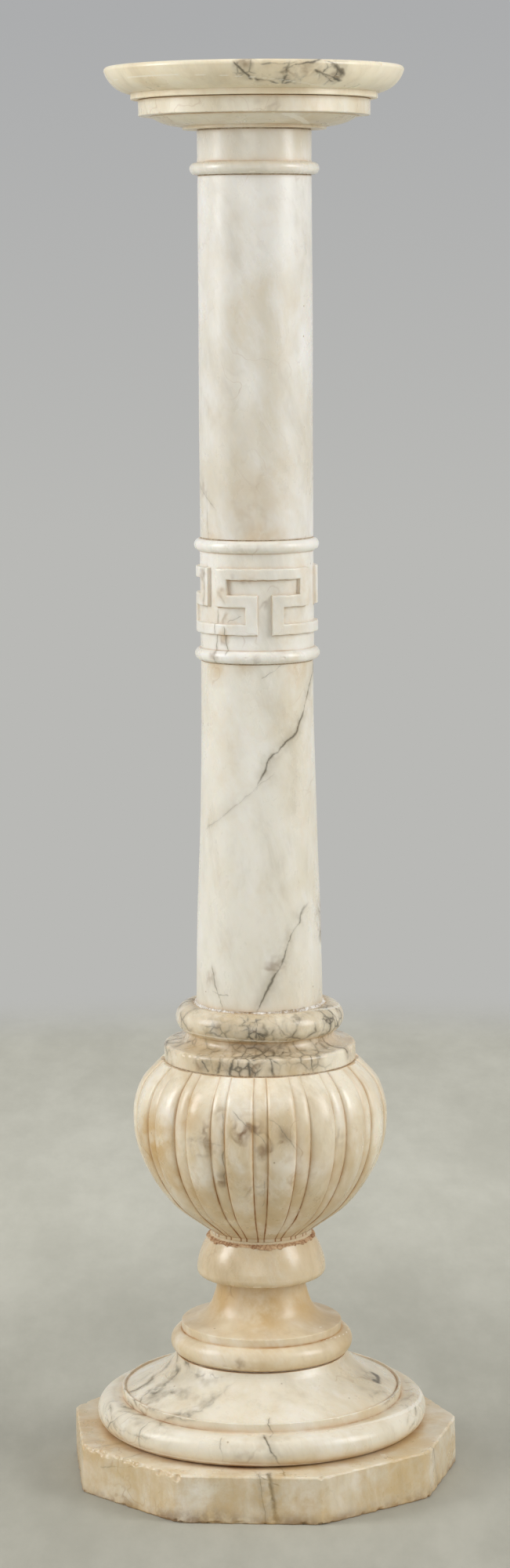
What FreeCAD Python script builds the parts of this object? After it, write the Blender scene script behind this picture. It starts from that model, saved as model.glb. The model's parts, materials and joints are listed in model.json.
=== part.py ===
"""A turned alabaster font: stones stacked on an iron rod, with a shallow basin that turns on a pin.

Lengths are in millimetres. +Z is up, the front faces -Y, and the origin is on the turning axis at
floor level. Each stone is drawn from its own foot, z = 0, and then lifted to its place in the stack.
"""
import FreeCAD, Part
import math
import os

Vector = FreeCAD.Vector
UP = Vector(0, 0, 1)
AXIS_POINT = Vector(0, 0, 0)

# Heights of the stones, from the floor up.
PLINTH_BASE_HEIGHT = 95.2
SPOOL_FOOT_HEIGHT = 61.0
BELL_HEIGHT = 31.2
BULB_HEIGHT = 139.4
COLLAR_HEIGHT = 44.0
LOWER_SHAFT_HEIGHT = 269.2
KEY_BAND_HEIGHT = 94.0
UPPER_SHAFT_HEIGHT = 275.2
NECK_HEIGHT = 33.4
CAPITAL_HEIGHT = 22.3
BASIN_HEIGHT = 24.4

# Beds between the stones.
THIN_BED = 0.8
SHAFT_BED = 1.2
CEMENT_BED = 3.6
SLIP_BED = 0.3

# Plinth: a hand-cut nine-sided slab. The angles are its corners, from the front towards +X.
PLINTH_CORNER_RADIUS = 155.5
PLINTH_CORNERS = (-145, -104.5, -65, -25, 17, 56.5, 92, 133, 174)
PLINTH_HEIGHT = 37.6
PLINTH_CHAMFER = 1.2
BASE_TORUS_RADIUS = 130.6
BASE_FILLET_RADIUS = 110.8

# Radii of the turned work.
FOOT_RING_SOLE = 66.0
FOOT_RING_RADIUS = 72.0
DISH_RADIUS = 63.3
WAIST_RADIUS = 34.5
BELL_RADIUS = 50.9
CEMENT_RADIUS = 41.8
BULB_FOOT_RADIUS = 39.4
BULB_RADIUS = 100.0
COLLAR_DISC_RADIUS = 75.2
COLLAR_TORUS_RADIUS = 65.9
SHAFT_FOOT_RADIUS = 49.5
SHAFT_TOP_RADIUS = 43.5
UPPER_SHAFT_RADIUS = 43.7
RING_RADIUS = 48.5
BAND_RADIUS = 44.1
NECK_RADIUS = 43.7
NECK_RING_RADIUS = 49.7
CAPITAL_RADIUS = 88.4
BASIN_FILLET_RADIUS = 94.1
BASIN_RADIUS = 114.4

# Gadroons of the bulb: wide lobes with a narrow bead between each two.
LOBE_COUNT = 18
BEAD_ANGLE = 7.0
GROOVE_DEPTH = 0.036
BEAD_DEPTH = 0.021

# Greek key: three carved motifs that stand proud of the band.
KEY_RADIUS = 47.3
KEY_CENTRES = (7.4, 129.0, 255.0)
KEY_INNER = 7.0
KEY_INNER_END = 19.0
KEY_OUTER = 37.0
KEY_OUTER_END = 51.0
KEY_LOW_BAR = (21.9, 30.6)
KEY_MIDDLE_BAR = (43.1, 52.8)
KEY_TOP_BAR = (64.2, 73.1)

# Basin: a flat floor with a coved side.
BASIN_FLOOR_RADIUS = 88.0
BASIN_FLOOR_HEIGHT = 13.4
BASIN_MOUTH_RADIUS = 102.5

# Iron work on the axis.
ROD_RADIUS = 6.0
ROD_BORE_RADIUS = 8.0
ROD_FOOT = 5.0
ROD_END_CHAMFER = 1.0
PIN_RADIUS = 5.0
PIN_ABOVE_CAPITAL = 7.7
PIN_CLEARANCE = 0.05
THREAD_CLEARANCE = 0.05
WASHER_RADIUS = 22.0
WASHER_BORE_RADIUS = 6.5
WASHER_THICKNESS = 2.5
NUT_ACROSS_FLATS = 19.0
NUT_HEIGHT = 10.0
NUT_CHAMFER_ANGLE = 30.0
FOOT_RECESS_RADIUS = 32.0
FOOT_RECESS_DEPTH = 24.0
TOP_RECESS_RADIUS = 25.0
TOP_RECESS_DEPTH = 15.0
SLEEVE_RADIUS = 7.0
SLEEVE_LENGTH = 7.6
SOCKET_DEPTH = 8.0
SLIP_WASHER_RADII = (30.0, 84.0)
SLIP_WASHER_PLAY = 0.05

# A thin bed stops short of the stones' edges by this much; the shaft's plaster stands proud of it.
BED_SETBACK = 0.5
PLASTER_PROUD = 0.8


def outline_wire(start, moves):
    """Follow moves from start in the r-z plane.

    A pair is a straight run to that point, a tuple of two pairs is an arc through the first to the
    second, and a list of pairs is a smooth curve through them.
    """
    edges = []
    here = Vector(start[0], 0, start[1])
    for move in moves:
        if isinstance(move, list):
            points = [here] + [Vector(r, 0, z) for r, z in move]
            curve = Part.BSplineCurve()
            curve.interpolate(points)
            edges.append(curve.toShape())
            here = points[-1]
        elif isinstance(move[0], tuple):
            middle, end = (Vector(r, 0, z) for r, z in move)
            edges.append(Part.Arc(here, middle, end).toShape())
            here = end
        else:
            end = Vector(move[0], 0, move[1])
            edges.append(Part.makeLine(here, end))
            here = end
    return Part.Wire(edges)


def turned(start, moves, height, bore=ROD_BORE_RADIUS):
    """A stone turned on the lathe: the outer outline from its foot to its top, with a rod bore."""
    around = [start] + list(moves) + [(bore, height), (bore, start[1])]
    wire = outline_wire((bore, start[1]), around)
    return Part.Face(wire).revolve(AXIS_POINT, UP, 360)


def ring(inner, outer, height):
    return Part.makeCylinder(outer, height).cut(Part.makeCylinder(inner, height))


def at_angle(radius, angle, z=0.0):
    """A point at an angle in degrees from the front, counted towards +X."""
    turn = math.radians(angle)
    return Vector(radius * math.sin(turn), -radius * math.cos(turn), z)


def lifted(shape, z):
    copy = shape.copy()
    copy.translate(Vector(0, 0, z))
    return copy


def plinth_base():
    """The nine-sided slab with its torus, fillet and dome, cut from one block, hollow for the nut."""
    corners = [at_angle(PLINTH_CORNER_RADIUS, angle) for angle in PLINTH_CORNERS]
    slab = Part.Face(Part.makePolygon(corners + corners[:1])).extrude(UP * PLINTH_HEIGHT)
    top_edges = [edge for edge in slab.Edges if edge.BoundBox.ZMin > PLINTH_HEIGHT - 0.1]
    slab = slab.makeChamfer(PLINTH_CHAMFER, top_edges)
    torus_side = BASE_TORUS_RADIUS - 13.6
    mouldings = turned(
        (torus_side, PLINTH_HEIGHT - 2),
        [
            (torus_side, PLINTH_HEIGHT),
            ((BASE_TORUS_RADIUS, 49.0), (torus_side, 60.8)),
            (BASE_FILLET_RADIUS, 60.8),
            (BASE_FILLET_RADIUS, 67.6),
            (108.0, 67.6),
            [(98.0, 72.0), (87.0, 77.5), (77.0, 83.5), (70.5, 89.5), (67.5, PLINTH_BASE_HEIGHT)],
        ],
        PLINTH_BASE_HEIGHT,
    )
    bore = Part.makeCylinder(ROD_BORE_RADIUS, PLINTH_HEIGHT)
    recess = Part.makeCylinder(FOOT_RECESS_RADIUS, FOOT_RECESS_DEPTH)
    return slab.cut(bore).fuse(mouldings).cut(recess).removeSplitter()


def spool_foot():
    """A foot ring, a small dish above it and the narrow waist under the bell."""
    return turned(
        (FOOT_RING_SOLE, 0),
        [
            ((FOOT_RING_RADIUS, 9.2), (63.8, 18.2)),
            (DISH_RADIUS, 18.2),
            (DISH_RADIUS, 24.6),
            (62.6, 24.9),
            [(52.0, 27.6), (44.5, 32.2), (40.0, 38.0), (37.0, 46.0), (35.0, 54.0),
             (WAIST_RADIUS, SPOOL_FOOT_HEIGHT)],
        ],
        SPOOL_FOOT_HEIGHT,
    )


def bell_knop():
    """A bell with a flat, undercut foot."""
    return turned(
        (46.8, 0),
        [
            ((50.1, 2.3), (BELL_RADIUS, 6.2)),
            [(50.1, 12.6), (46.8, 22.8), (42.3, BELL_HEIGHT)],
        ],
        BELL_HEIGHT,
    )


def gadroon_section(radius, z):
    """One level of the bulb: wide lobes and narrow beads that meet in grooves."""
    step = 360.0 / LOBE_COUNT
    groove = radius * (1 - GROOVE_DEPTH)
    bead = radius * (1 - BEAD_DEPTH)
    edges = []
    for index in range(LOBE_COUNT):
        bead_middle = index * step
        lobe_middle = bead_middle + step / 2
        left = at_angle(groove, bead_middle - BEAD_ANGLE / 2, z)
        right = at_angle(groove, bead_middle + BEAD_ANGLE / 2, z)
        following = at_angle(groove, bead_middle + step - BEAD_ANGLE / 2, z)
        edges.append(Part.Arc(left, at_angle(bead, bead_middle, z), right).toShape())
        edges.append(Part.Arc(right, at_angle(radius, lobe_middle, z), following).toShape())
    return Part.Wire(edges)


def fluted_bulb():
    """The gadrooned bulb, on a small plain fillet."""
    fillet_top = 2.4
    levels = (
        (BULB_FOOT_RADIUS, fillet_top),
        (50.5, 9.9),
        (71.5, 26.4),
        (88.0, 48.4),
        (97.2, 70.4),
        (BULB_RADIUS, 90.4),
        (98.6, 108.4),
        (91.8, 125.4),
        (78.4, BULB_HEIGHT),
    )
    body = Part.makeLoft([gadroon_section(radius, z) for radius, z in levels], True, False)
    foot = Part.makeCylinder(BULB_FOOT_RADIUS, fillet_top + 2)
    bore = Part.makeCylinder(ROD_BORE_RADIUS, BULB_HEIGHT)
    return body.fuse(foot).cut(bore).removeSplitter()


def collar():
    """A disc, a hollow scotia and a fat torus that the shaft stands on."""
    return turned(
        (COLLAR_DISC_RADIUS, 0),
        [
            (COLLAR_DISC_RADIUS, 10.2),
            ((74.4, 12.3), (72.5, 13.2)),
            [(67.0, 13.8), (61.0, 15.8), (58.0, 19.5), (58.0, 23.0)],
            (59.5, 23.0),
            ((COLLAR_TORUS_RADIUS, 33.0), (51.5, 43.8)),
            (50.5, COLLAR_HEIGHT),
        ],
        COLLAR_HEIGHT,
    )


def lower_shaft():
    """The lower shaft, which spreads towards its foot."""
    return turned(
        (SHAFT_FOOT_RADIUS, 0),
        [[(48.1, 72.0), (45.8, 134.0), (43.9, 212.0), (SHAFT_TOP_RADIUS, LOWER_SHAFT_HEIGHT)]],
        LOWER_SHAFT_HEIGHT,
    )


def key_block(first, last, levels):
    """One bar of the key: a piece of ring from angle first to angle last between two levels."""
    low, high = levels
    inner = BAND_RADIUS - 1.0
    middle = (first + last) / 2
    outside = Part.Arc(
        at_angle(KEY_RADIUS, first, low), at_angle(KEY_RADIUS, middle, low), at_angle(KEY_RADIUS, last, low)
    )
    inside = Part.Arc(
        at_angle(inner, last, low), at_angle(inner, middle, low), at_angle(inner, first, low)
    )
    wire = Part.Wire([
        outside.toShape(),
        Part.makeLine(at_angle(KEY_RADIUS, last, low), at_angle(inner, last, low)),
        inside.toShape(),
        Part.makeLine(at_angle(inner, first, low), at_angle(KEY_RADIUS, first, low)),
    ])
    return Part.Face(wire).extrude(UP * (high - low))


def key_motif(centre, next_centre):
    """One motif, and the low bar that leads on to the next."""
    outer_levels = (KEY_MIDDLE_BAR[0], KEY_TOP_BAR[1])
    inner_levels = (KEY_LOW_BAR[0], KEY_MIDDLE_BAR[1])
    blocks = [
        key_block(centre - KEY_OUTER_END, centre + KEY_OUTER_END, KEY_TOP_BAR),
        key_block(centre + KEY_INNER, next_centre - KEY_INNER, KEY_LOW_BAR),
    ]
    for side in (-1, 1):
        spans = (
            (KEY_OUTER, KEY_OUTER_END, outer_levels),
            (KEY_INNER, KEY_INNER_END, inner_levels),
            (KEY_INNER, KEY_OUTER_END, KEY_MIDDLE_BAR),
        )
        for near, far, levels in spans:
            first, last = sorted((centre + side * near, centre + side * far))
            blocks.append(key_block(first, last, levels))
    return blocks


def key_band():
    """The band with a rounded ring at each end and the Greek key carved between them."""
    ring_height = 9.6
    ring_side = BAND_RADIUS + 0.5
    top_ring = KEY_BAND_HEIGHT - ring_height
    body = turned(
        (ring_side, 0),
        [
            ((RING_RADIUS, ring_height / 2), (ring_side, ring_height)),
            (BAND_RADIUS, ring_height),
            (BAND_RADIUS, top_ring),
            (ring_side, top_ring),
            ((RING_RADIUS, top_ring + ring_height / 2), (ring_side, KEY_BAND_HEIGHT)),
        ],
        KEY_BAND_HEIGHT,
    )
    blocks = []
    for index, centre in enumerate(KEY_CENTRES):
        next_centre = KEY_CENTRES[(index + 1) % len(KEY_CENTRES)]
        if next_centre < centre:
            next_centre += 360
        blocks += key_motif(centre, next_centre)
    return body.fuse(blocks).removeSplitter()


def upper_shaft():
    """The upper shaft, almost straight."""
    return turned(
        (UPPER_SHAFT_RADIUS, 0),
        [[(UPPER_SHAFT_RADIUS + 0.2, UPPER_SHAFT_HEIGHT / 2), (UPPER_SHAFT_RADIUS, UPPER_SHAFT_HEIGHT)]],
        UPPER_SHAFT_HEIGHT,
    )


def neck_ring():
    """The neck with a rounded ring at its foot."""
    ring_height = 9.4
    ring_side = NECK_RADIUS + 0.9
    return turned(
        (ring_side, 0),
        [
            ((NECK_RING_RADIUS, ring_height / 2), (ring_side, ring_height)),
            (NECK_RADIUS, ring_height),
            (NECK_RADIUS, NECK_HEIGHT),
        ],
        NECK_HEIGHT,
    )


def capital():
    """A small fillet, a flat quarter round and an upright band, hollow for the upper nut."""
    stone = turned(
        (54.9, 0),
        [
            (54.9, 2.2),
            (56.0, 2.3),
            ((69.0, 4.6), (79.0, 9.6)),
            (79.0, 10.2),
            (CAPITAL_RADIUS, 10.2),
            (CAPITAL_RADIUS, CAPITAL_HEIGHT),
        ],
        CAPITAL_HEIGHT,
    )
    recess = Part.makeCylinder(TOP_RECESS_RADIUS, TOP_RECESS_DEPTH)
    return stone.cut(lifted(recess, CAPITAL_HEIGHT - TOP_RECESS_DEPTH))


def top_basin():
    """The shallow basin, with a socket under it for the pivot sleeve."""
    wire = outline_wire(
        (0, 0),
        [
            (BASIN_FILLET_RADIUS, 0),
            (BASIN_FILLET_RADIUS, 4.6),
            (96.0, 4.6),
            ((108.8, 11.6), (BASIN_RADIUS, 21.2)),
            ((113.6, 23.4), (111.4, BASIN_HEIGHT)),
            (104.0, BASIN_HEIGHT),
            ((103.0, 24.1), (BASIN_MOUTH_RADIUS, 23.0)),
            ((98.2, 16.2), (BASIN_FLOOR_RADIUS, BASIN_FLOOR_HEIGHT)),
            (0, BASIN_FLOOR_HEIGHT),
            (0, 0),
        ],
    )
    stone = Part.Face(wire).revolve(AXIS_POINT, UP, 360)
    return stone.cut(Part.makeCylinder(SLEEVE_RADIUS, SOCKET_DEPTH))


def tie_rod(foot, nut_top, tip):
    """The iron rod, turned down above the upper nut into the pin that the basin turns on."""
    wire = outline_wire(
        (0, foot),
        [
            (ROD_RADIUS - ROD_END_CHAMFER, foot),
            (ROD_RADIUS, foot + ROD_END_CHAMFER),
            (ROD_RADIUS, nut_top),
            (PIN_RADIUS, nut_top),
            (PIN_RADIUS, tip - ROD_END_CHAMFER),
            (PIN_RADIUS - ROD_END_CHAMFER, tip),
            (0, tip),
            (0, foot),
        ],
    )
    return Part.Face(wire).revolve(AXIS_POINT, UP, 360)


def hex_nut():
    """A hexagon nut with its corners turned off at both ends."""
    corner_radius = NUT_ACROSS_FLATS / math.sqrt(3)
    corners = [at_angle(corner_radius, 60 * index) for index in range(6)]
    hexagon = Part.Face(Part.makePolygon(corners + corners[:1])).extrude(UP * NUT_HEIGHT)
    face_radius = NUT_ACROSS_FLATS / 2
    slope = (corner_radius - face_radius) * math.tan(math.radians(NUT_CHAMFER_ANGLE))
    blank = outline_wire(
        (0, 0),
        [
            (face_radius, 0),
            (corner_radius, slope),
            (corner_radius, NUT_HEIGHT - slope),
            (face_radius, NUT_HEIGHT),
            (0, NUT_HEIGHT),
            (0, 0),
        ],
    )
    turned_blank = Part.Face(blank).revolve(AXIS_POINT, UP, 360)
    hole = Part.makeCylinder(ROD_RADIUS + THREAD_CLEARANCE, NUT_HEIGHT)
    return hexagon.common(turned_blank).cut(hole)


def washer():
    return ring(WASHER_BORE_RADIUS, WASHER_RADIUS, WASHER_THICKNESS)


def bed(radius, thickness):
    """A bed of plaster or cement between two stones."""
    return ring(ROD_BORE_RADIUS, radius, thickness)


def stack_stones():
    """Every stone and bed at its place, and the height at which each starts."""
    courses = [
        ("plinth_base", plinth_base(), PLINTH_BASE_HEIGHT),
        ("bed_plinth_spool", bed(FOOT_RING_SOLE - BED_SETBACK, THIN_BED), THIN_BED),
        ("spool_foot", spool_foot(), SPOOL_FOOT_HEIGHT),
        ("bed_spool_bell", bed(WAIST_RADIUS - BED_SETBACK, THIN_BED), THIN_BED),
        ("bell_knop", bell_knop(), BELL_HEIGHT),
        ("bulb_cement", bed(CEMENT_RADIUS, CEMENT_BED), CEMENT_BED),
        ("fluted_bulb", fluted_bulb(), BULB_HEIGHT),
        ("bed_bulb_collar", bed(COLLAR_DISC_RADIUS - BED_SETBACK, THIN_BED), THIN_BED),
        ("collar", collar(), COLLAR_HEIGHT),
        ("shaft_plaster", bed(SHAFT_FOOT_RADIUS + PLASTER_PROUD, SHAFT_BED), SHAFT_BED),
        ("lower_shaft", lower_shaft(), LOWER_SHAFT_HEIGHT),
        ("bed_shaft_band", bed(SHAFT_TOP_RADIUS - BED_SETBACK, THIN_BED), THIN_BED),
        ("key_band", key_band(), KEY_BAND_HEIGHT),
        ("bed_band_shaft", bed(UPPER_SHAFT_RADIUS - BED_SETBACK, THIN_BED), THIN_BED),
        ("upper_shaft", upper_shaft(), UPPER_SHAFT_HEIGHT),
        ("bed_shaft_neck", bed(UPPER_SHAFT_RADIUS - BED_SETBACK, THIN_BED), THIN_BED),
        ("neck_ring", neck_ring(), NECK_HEIGHT),
        ("bed_neck_capital", bed(NECK_RADIUS - BED_SETBACK, THIN_BED), THIN_BED),
        ("capital", capital(), CAPITAL_HEIGHT),
        ("slip_washer", ring(*SLIP_WASHER_RADII, SLIP_BED - SLIP_WASHER_PLAY), SLIP_BED),
        ("top_basin", top_basin(), BASIN_HEIGHT),
    ]
    pieces = {}
    starts = {}
    height = 0.0
    for name, shape, thickness in courses:
        pieces[name] = lifted(shape, height)
        starts[name] = height
        height += thickness
    return pieces, starts


def iron_work(starts):
    """The rod, its nuts and washers, and the sleeve in the basin."""
    foot_washer = FOOT_RECESS_DEPTH - WASHER_THICKNESS
    capital_top = starts["slip_washer"]
    top_washer = capital_top - TOP_RECESS_DEPTH
    top_nut = top_washer + WASHER_THICKNESS
    return {
        "base_washer": lifted(washer(), foot_washer),
        "base_nut": lifted(hex_nut(), foot_washer - NUT_HEIGHT),
        "top_washer": lifted(washer(), top_washer),
        "top_nut": lifted(hex_nut(), top_nut),
        "tie_rod": tie_rod(ROD_FOOT, top_nut + NUT_HEIGHT, capital_top + PIN_ABOVE_CAPITAL),
        "pivot_sleeve": lifted(
            ring(PIN_RADIUS + PIN_CLEARANCE, SLEEVE_RADIUS, SLEEVE_LENGTH), starts["top_basin"]
        ),
    }


def main():
    os.makedirs("parts", exist_ok=True)
    pieces, starts = stack_stones()
    pieces.update(iron_work(starts))
    for name, shape in pieces.items():
        solid = shape.Solids[0] if len(shape.Solids) == 1 else shape
        print(f"{name}: valid {solid.isValid()}, solids {len(shape.Solids)}, "
              f"z {solid.BoundBox.ZMin:.1f} to {solid.BoundBox.ZMax:.1f}, {solid.Volume / 1000:.1f} cm3")
        solid.exportStep(f"parts/{name}.step")


main()
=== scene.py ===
"""Looks of a turned alabaster font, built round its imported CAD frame.

Each stone is turned again as a fine mesh with worn edges, chips and carving, in the place of its CAD node.
Outlines are in millimetres: radius, and height above the stone's own foot. Everything in Blender is in
metres. Angles are in degrees from the front (-Y) towards +X. Colours are as seen on a screen, 0 to 255.
"""
import json
import math
import random
from functools import reduce

import bpy
import numpy as np
from mathutils import Matrix, Vector, noise


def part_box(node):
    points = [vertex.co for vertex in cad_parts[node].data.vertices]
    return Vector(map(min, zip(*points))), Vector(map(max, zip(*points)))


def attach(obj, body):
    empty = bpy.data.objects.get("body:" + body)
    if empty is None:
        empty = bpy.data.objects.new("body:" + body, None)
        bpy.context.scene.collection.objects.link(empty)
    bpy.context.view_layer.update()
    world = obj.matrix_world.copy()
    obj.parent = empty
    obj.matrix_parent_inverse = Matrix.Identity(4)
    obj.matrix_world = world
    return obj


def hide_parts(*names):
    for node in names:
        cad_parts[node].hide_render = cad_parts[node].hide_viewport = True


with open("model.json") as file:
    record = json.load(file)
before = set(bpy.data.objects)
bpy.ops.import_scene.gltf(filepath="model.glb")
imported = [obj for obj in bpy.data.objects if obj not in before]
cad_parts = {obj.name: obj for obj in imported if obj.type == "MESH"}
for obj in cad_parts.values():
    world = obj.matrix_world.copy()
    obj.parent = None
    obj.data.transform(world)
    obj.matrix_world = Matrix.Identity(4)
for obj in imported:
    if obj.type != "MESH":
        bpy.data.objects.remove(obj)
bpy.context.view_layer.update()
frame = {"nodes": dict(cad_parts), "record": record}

MM = 0.001
BORE = 8
WORN_EDGE = 0.7
JOINT_EDGE = 0.2
DARK_CORNER_REACH = 1.3
TURNED_COLUMNS = 480
CARVED_COLUMNS = 240
JOINT_COLUMNS = 720

# Plinth: corners of the nine-sided slab, and how its outline meets the torus.
PLINTH_CORNERS = (-145, -104.5, -65, -25, 17, 56.5, 92, 133, 174)
PLINTH_CORNER_RADIUS = 155.5
SLAB_HEIGHT = 37.6
TORUS_FOOT = 117
LIP_FOOT = (110.8, 60.8)
LIP_BACK = (108.1, 66.7)
PLINTH_HEIGHT = 95.2
RECESS_RADIUS, RECESS_HEIGHT = 32, 24

# Bulb: wide lobes with a narrow bead between each two.
LOBES = 18
LOBE_STEP = 360 / LOBES
BEAD_HALF_ANGLE = 3.5
GROOVE_DEPTH = 0.036
BEAD_DEPTH = 0.021

# Greek key: three motifs that stand proud of the band.
BAND_RADIUS = 44.1
BAND_HEIGHT = 94
RING_HEIGHT = 9.6
KEY_RELIEF = 3.2
KEY_CENTRES = (7.4, 129, 255)
KEY_INNER, KEY_INNER_END = 7, 19
KEY_OUTER, KEY_OUTER_END = 37, 51
KEY_LOW_BAR = (21.9, 30.6)
KEY_MIDDLE_BAR = (43.1, 52.8)
KEY_TOP_BAR = (64.2, 73.1)

SHAFT_RADIUS = 43.7


# ---- outlines

def arc_points(start, middle, end, step=0.9):
    """Points after start on the circle through three points, up to end."""
    (ax, ay), (bx, by), (cx, cy) = start, middle, end
    d = 2 * (ax * (by - cy) + bx * (cy - ay) + cx * (ay - by))
    ux = ((ax**2 + ay**2) * (by - cy) + (bx**2 + by**2) * (cy - ay) + (cx**2 + cy**2) * (ay - by)) / d
    uy = ((ax**2 + ay**2) * (cx - bx) + (bx**2 + by**2) * (ax - cx) + (cx**2 + cy**2) * (bx - ax)) / d
    radius = math.hypot(ax - ux, ay - uy)
    first = math.atan2(ay - uy, ax - ux)
    turn_to_middle = (math.atan2(by - uy, bx - ux) - first) % math.tau
    turn = (math.atan2(cy - uy, cx - ux) - first) % math.tau
    if turn_to_middle > turn:
        turn -= math.tau
    count = max(8, int(abs(turn) * radius / step))
    return [
        (ux + radius * math.cos(first + turn * k / count), uy + radius * math.sin(first + turn * k / count))
        for k in range(1, count + 1)
    ]


def curve_points(points, step=1.6):
    """Points after the first one on a smooth curve through them all."""
    ends = [points[0]] + list(points) + [points[-1]]
    made = []
    for p0, p1, p2, p3 in zip(ends, ends[1:], ends[2:], ends[3:]):
        count = max(3, int(math.dist(p1, p2) / step))
        for k in range(1, count + 1):
            t = k / count
            made.append(tuple(
                0.5 * (2 * b + (c - a) * t + (2 * a - 5 * b + 4 * c - d) * t**2
                       + (3 * b - a - 3 * c + d) * t**3)
                for a, b, c, d in zip(p0, p1, p2, p3)
            ))
    return made


def outline(start, moves):
    """Follow moves from start: a pair is a straight run, a tuple of pairs an arc, a list a curve."""
    points = [start]
    for move in moves:
        if isinstance(move, list):
            points += curve_points([points[-1]] + move)
        elif isinstance(move[0], tuple):
            points += arc_points(points[-1], *move)
        else:
            points.append(move)
    return points


def worn(points, joints=()):
    """The closed outline with each sharp corner worn round, less so at the heights of the joints."""
    made = []
    for index, here in enumerate(points):
        before, after = points[index - 1], points[(index + 1) % len(points)]
        back, ahead = math.dist(before, here), math.dist(here, after)
        coming = math.atan2(here[1] - before[1], here[0] - before[0])
        going = math.atan2(after[1] - here[1], after[0] - here[0])
        turn = (going - coming + math.pi) % math.tau - math.pi
        if abs(turn) < math.radians(20) or here[0] <= BORE:
            made.append(here)
            continue
        radius = JOINT_EDGE if here[1] in joints else WORN_EDGE
        cut = min(radius * math.tan(abs(turn) / 2), 0.45 * back, 0.45 * ahead)
        first = [h + (b - h) * cut / back for h, b in zip(here, before)]
        last = [h + (a - h) * cut / ahead for h, a in zip(here, after)]
        for k in range(6):
            t = k / 5
            made.append(tuple(
                (1 - t) ** 2 * f + 2 * t * (1 - t) * h + t**2 * e for f, h, e in zip(first, here, last)
            ))
    return made


def graded(points, finest=0.45, growth=1.35, coarsest=3):
    """The closed outline with its straight runs divided, finely near their ends."""
    made = []
    for here, after in zip(points, points[1:] + points[:1]):
        made.append(here)
        length = math.dist(here, after)
        steps, place, step = [], 0, finest
        while place + step < length / 2:
            place += step
            steps.append(place)
            step = min(step * growth, coarsest)
        for place in steps + [length - s for s in reversed(steps)]:
            made.append(tuple(h + (a - h) * place / length for h, a in zip(here, after)))
    return made


def turned_outline(start, moves, height):
    """A stone's whole section: its outside from foot to top, and the rod bore."""
    return graded(worn([(BORE, 0)] + outline(start, moves) + [(BORE, height)], joints=(0, height)))


# ---- meshes

def columns(count=TURNED_COLUMNS, extra=()):
    """Angles for the columns of a turned mesh, with extra ones where an edge needs them."""
    even = np.arange(count) * 360 / count
    return np.unique(np.round(np.concatenate((even, np.mod(np.array(extra, float), 360))), 4))


def near(places, steps):
    """Each place, and the steps to both sides of it."""
    return [place + side for place in places for step in steps for side in {step, -step}]


def spread(points, angles):
    """Grids of angle, radius and height, columns by outline points."""
    r, z = np.array(points, float).T
    theta, r = np.meshgrid(angles, r, indexing="ij")
    return theta, r, z + np.zeros_like(r)


def turn_grid(points, angles, node, shape=None):
    """A grid of points above the foot of a CAD node, with shape free to move its radii and heights."""
    theta, r, z = spread(points, angles)
    if shape:
        r, z = shape(theta, r, z)
    turn = np.radians(theta)
    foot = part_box(node)[0].z
    return np.stack((r * MM * np.sin(turn), -r * MM * np.cos(turn), z * MM + foot), axis=-1)


def wobble(grid, seed, amount=0.16):
    """Slow unevenness of hand turning, in millimetres."""
    rng = random.Random(seed)
    angle = np.arctan2(grid[..., 0], -grid[..., 1])
    swell = np.zeros(grid.shape[:2])
    for waves in (2, 3, 5, 8):
        lean, phase = rng.uniform(-60, 60), rng.uniform(0, math.tau)
        swell += np.sin(waves * angle + lean * grid[..., 2] + phase) / waves**0.5
    radius = np.hypot(grid[..., 0], grid[..., 1])
    gain = 1 + swell * amount * MM / np.maximum(radius, 0.02) * (radius > BORE * MM * 1.2)
    grid[..., :2] *= gain[..., None]


def bite(grid, column, row, size, depth):
    """Break a shell-shaped chip out of the grid at one of its points."""
    cols, rows = grid.shape[:2]
    across = grid[(column + 1) % cols, row] - grid[column - 1, row]
    along = grid[column, (row + 1) % rows] - grid[column, row - 1]
    outward = np.cross(across, along)
    outward /= np.linalg.norm(outward)
    centre = grid[column, row] + outward * (size - depth) * MM
    away = grid - centre
    distance = np.linalg.norm(away, axis=-1)
    for i, j in zip(*np.nonzero(distance < size * MM * 1.15)):
        broken = size * MM * (1 + 0.22 * noise.noise(Vector(grid[i, j]) * 420))
        if distance[i, j] < broken:
            grid[i, j] = centre + away[i, j] / distance[i, j] * broken


def chips(grid, points, edge, count, sizes, seed, angles=(0, 360)):
    """Small chips at random places along the edge nearest to a point of the outline."""
    rng = random.Random(seed)
    row = min(range(len(points)), key=lambda k: math.dist(points[k], edge))
    cols = grid.shape[0]
    for _ in range(count):
        column = int(rng.uniform(*angles) / 360 * cols) % cols
        size = rng.uniform(*sizes)
        bite(grid, column, row, size, size * rng.uniform(0.12, 0.3))


def mesh_object(name, vertices, faces):
    mesh = bpy.data.meshes.new(name)
    mesh.from_pydata(vertices, [], faces)
    mesh.validate()
    mesh.shade_smooth()
    piece = bpy.data.objects.new(name, mesh)
    bpy.context.scene.collection.objects.link(piece)
    return piece


def quads(index):
    """Faces between neighbours in a grid of point numbers that closes round the axis."""
    right = np.roll(index, -1, axis=0)
    faces = np.stack((index[:, :-1], right[:, :-1], right[:, 1:], index[:, 1:]), axis=-1)
    return faces.reshape(-1, 4).tolist()


def ring_mesh(name, grid):
    """A closed ring of stone from a grid whose outline closes on itself."""
    cols, rows = grid.shape[:2]
    index = np.arange(cols * rows).reshape(cols, rows)
    return mesh_object(name, grid.reshape(-1, 3).tolist(), quads(np.hstack((index, index[:, :1]))))


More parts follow.
